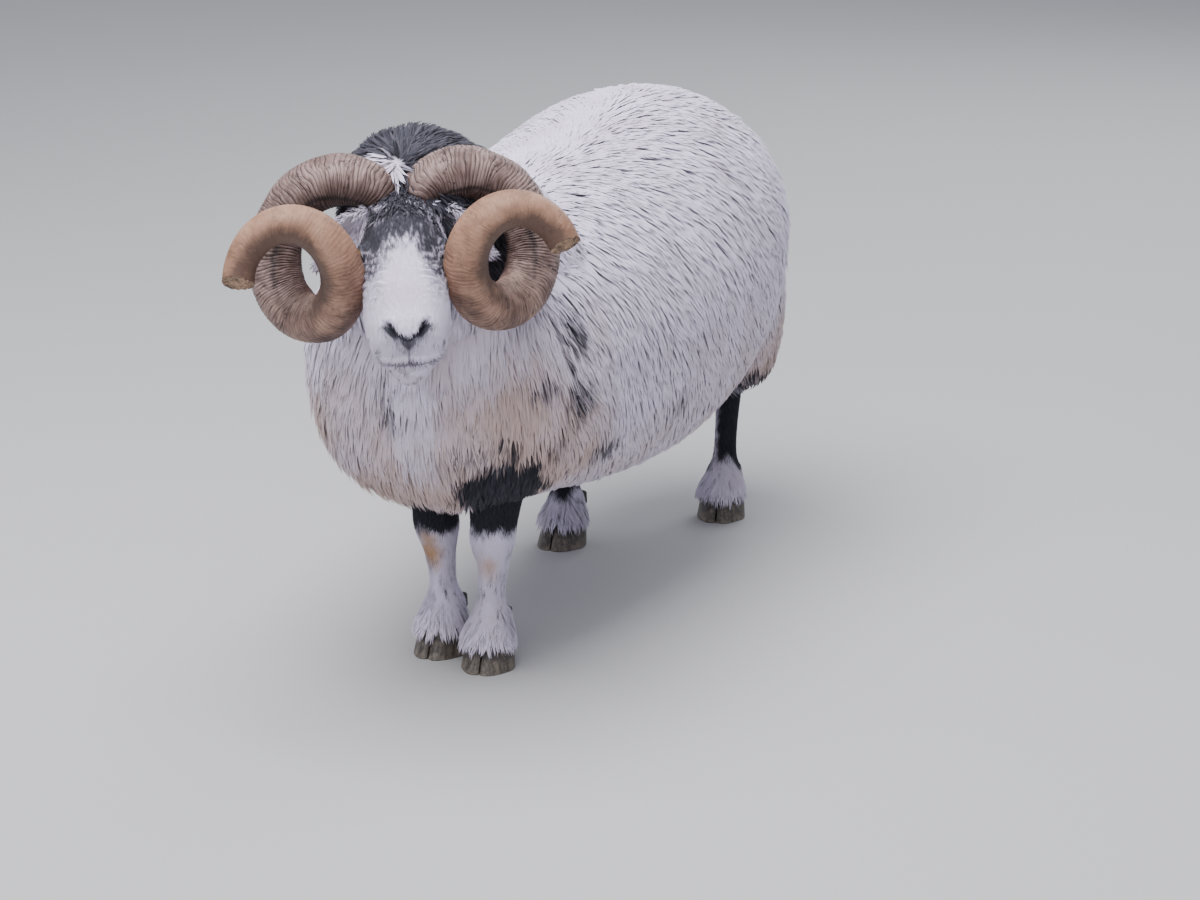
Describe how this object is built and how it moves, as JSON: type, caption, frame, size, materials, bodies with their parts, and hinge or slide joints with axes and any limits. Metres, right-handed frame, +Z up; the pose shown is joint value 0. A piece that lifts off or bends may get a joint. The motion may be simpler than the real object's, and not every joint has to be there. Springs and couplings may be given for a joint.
{
  "type": "scottish blackface ram model",
  "caption": "Life-size still model of a standing horned hill ram: thick pale fleece, black nape, ringed curled horns, white blazed face and dark mottled legs.",
  "frame": {"origin": "on the floor, under the middle of the whole ram's box, with all claw soles at height zero", "axes": "+Z up, -Y from the rump towards the chest, +X to the animal's left; the head is turned about 25 degrees to the animal's left"},
  "size_m": [0.491, 1.3114, 0.7255],
  "materials": {
    "fleece": "dense white wool with dark patches on the left flank",
    "dark_wool": "short black wool of the nape and neck, white at the throat",
    "face_hair": "short black and white hair with a white blaze",
    "leg_hair": "short hair, black above and mottled white below",
    "ear_hair": "short pale hair over thin skin",
    "horn": "ribbed brown horn, smoother and paler at the tips",
    "eye": "wet amber eye with a level dark pupil",
    "hoof": "dull dark horn of the claws"
  },
  "bodies": {
    "root": {"torso": "fleece", "neck": "dark_wool", "head": "face_hair", "tail": "fleece", "horn_left": "horn", "horn_right": "horn", "ear_left": "ear_hair", "ear_right": "ear_hair", "eye_left": "eye", "eye_right": "eye", "fore_left_leg": "leg_hair", "fore_right_leg": "leg_hair", "hind_left_leg": "leg_hair", "hind_right_leg": "leg_hair", "fore_left_claw_inner": "hoof", "fore_left_claw_outer": "hoof", "fore_right_claw_inner": "hoof", "fore_right_claw_outer": "hoof", "hind_left_claw_inner": "hoof", "hind_left_claw_outer": "hoof", "hind_right_claw_inner": "hoof", "hind_right_claw_outer": "hoof", "fore_left_dewclaw_inner": "hoof", "fore_left_dewclaw_outer": "hoof", "fore_right_dewclaw_inner": "hoof", "fore_right_dewclaw_outer": "hoof", "hind_left_dewclaw_inner": "hoof", "hind_left_dewclaw_outer": "hoof", "hind_right_dewclaw_inner": "hoof", "hind_right_dewclaw_outer": "hoof"}
  },
  "joints": []
}
